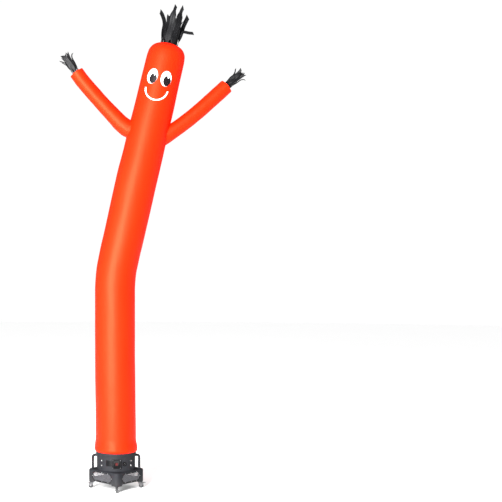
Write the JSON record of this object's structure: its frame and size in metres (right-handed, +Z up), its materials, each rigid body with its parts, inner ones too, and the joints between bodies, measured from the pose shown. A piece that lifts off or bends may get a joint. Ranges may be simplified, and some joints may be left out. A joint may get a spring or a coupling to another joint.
{
  "type": "inflatable air dancer on a floor blower",
  "caption": "Fan-driven cloth tube figure with arms, ribbons and a plain face, clamped by its hem on a floor blower with handles, mesh grilles and swivel casters.",
  "frame": {"origin": "on the floor, under the middle of the whole object's box", "axes": "+Z up along the dancer, -Y the way its face looks, +X towards the side that it leans to; the blower's axis is at X = -0.2816"},
  "size_m": [1.4499, 0.4556, 3.716],
  "materials": {
    "orange_nylon": "thin coated nylon, soft sheen",
    "white_patch": "white nylon patch",
    "dark_patch": "charcoal nylon patch",
    "black_ribbon": "black nylon ribbon, soft sheen",
    "moulded_plastic": "fine-grained dark moulding",
    "band_webbing": "ribbed dark webbing",
    "black_metal": "black powder coat",
    "red_switch": "glossy red",
    "zinc": "bright plated steel",
    "grey_wheel": "hard grey tread"
  },
  "bodies": {
    "blower_and_dancer": {"dancer_tube": "orange_nylon", "left_arm": "orange_nylon", "right_arm": "orange_nylon", "hair": "black_ribbon", "left_streamers": "black_ribbon", "right_streamers": "black_ribbon", "left_eye_white": "white_patch", "right_eye_white": "white_patch", "left_pupil": "dark_patch", "right_pupil": "dark_patch", "smile": "white_patch", "housing": "moulded_plastic", "fastening_band": "band_webbing", "outlet_ring": "moulded_plastic", "handle_left": "moulded_plastic", "handle_right": "moulded_plastic", "switch_plate": "black_metal", "power_inlet": "black_metal", "grille_0": "black_metal", "bolt_0": "zinc", "caster_plate_0": "zinc", "grille_1": "black_metal", "bolt_1": "zinc", "caster_plate_1": "zinc", "grille_2": "black_metal", "bolt_2": "zinc", "caster_plate_2": "zinc", "grille_3": "black_metal", "bolt_3": "zinc", "caster_plate_3": "zinc"},
    "caster_0_swivel": {"caster_fork_0": "zinc"},
    "caster_0_wheel": {"caster_wheel_0": "grey_wheel"},
    "caster_0_brake": {"caster_brake_0": "zinc"},
    "caster_1_swivel": {"caster_fork_1": "zinc"},
    "caster_1_wheel": {"caster_wheel_1": "grey_wheel"},
    "caster_1_brake": {"caster_brake_1": "zinc"},
    "caster_2_swivel": {"caster_fork_2": "zinc"},
    "caster_2_wheel": {"caster_wheel_2": "grey_wheel"},
    "caster_2_brake": {"caster_brake_2": "zinc"},
    "caster_3_swivel": {"caster_fork_3": "zinc"},
    "caster_3_wheel": {"caster_wheel_3": "grey_wheel"},
    "caster_3_brake": {"caster_brake_3": "zinc"},
    "rocker": {"rocker": "red_switch"}
  },
  "joints": [
    {"name": "caster_0_turn", "type": "hinge", "parent": "blower_and_dancer", "child": "caster_0_swivel", "pos_m": [-0.2816, -0.182, 0.045], "axis": [0, 0, 1], "continuous": true},
    {"name": "caster_0_roll", "type": "hinge", "parent": "caster_0_swivel", "child": "caster_0_wheel", "pos_m": [-0.2816, -0.194, 0.01877], "axis": [1, 0, 0], "continuous": true},
    {"name": "caster_0_press", "type": "hinge", "parent": "caster_0_swivel", "child": "caster_0_brake", "pos_m": [-0.2816, -0.208, 0.0372], "axis": [1, 0, 0], "range_deg": [0, 25]},
    {"name": "caster_1_turn", "type": "hinge", "parent": "blower_and_dancer", "child": "caster_1_swivel", "pos_m": [-0.0996, 0, 0.045], "axis": [0, 0, 1], "continuous": true},
    {"name": "caster_1_roll", "type": "hinge", "parent": "caster_1_swivel", "child": "caster_1_wheel", "pos_m": [-0.0876, 0, 0.01877], "axis": [0, 1, 0], "continuous": true},
    {"name": "caster_1_press", "type": "hinge", "parent": "caster_1_swivel", "child": "caster_1_brake", "pos_m": [-0.0736, 0, 0.0372], "axis": [0, 1, 0], "range_deg": [0, 25]},
    {"name": "caster_2_turn", "type": "hinge", "parent": "blower_and_dancer", "child": "caster_2_swivel", "pos_m": [-0.2816, 0.182, 0.045], "axis": [0, 0, 1], "continuous": true},
    {"name": "caster_2_roll", "type": "hinge", "parent": "caster_2_swivel", "child": "caster_2_wheel", "pos_m": [-0.2816, 0.194, 0.01877], "axis": [-1, 0, 0], "continuous": true},
    {"name": "caster_2_press", "type": "hinge", "parent": "caster_2_swivel", "child": "caster_2_brake", "pos_m": [-0.2816, 0.208, 0.0372], "axis": [-1, 0, 0], "range_deg": [0, 25]},
    {"name": "caster_3_turn", "type": "hinge", "parent": "blower_and_dancer", "child": "caster_3_swivel", "pos_m": [-0.4636, 0, 0.045], "axis": [0, 0, 1], "continuous": true},
    {"name": "caster_3_roll", "type": "hinge", "parent": "caster_3_swivel", "child": "caster_3_wheel", "pos_m": [-0.4756, 0, 0.01877], "axis": [0, -1, 0], "continuous": true},
    {"name": "caster_3_press", "type": "hinge", "parent": "caster_3_swivel", "child": "caster_3_brake", "pos_m": [-0.4896, 0, 0.0372], "axis": [0, -1, 0], "range_deg": [0, 25]},
    {"name": "rocker_tip", "type": "hinge", "parent": "blower_and_dancer", "child": "rocker", "pos_m": [-0.2816, -0.1538, 0.208], "axis": [1, 0, 0], "range_deg": [0, 16]}
  ]
}
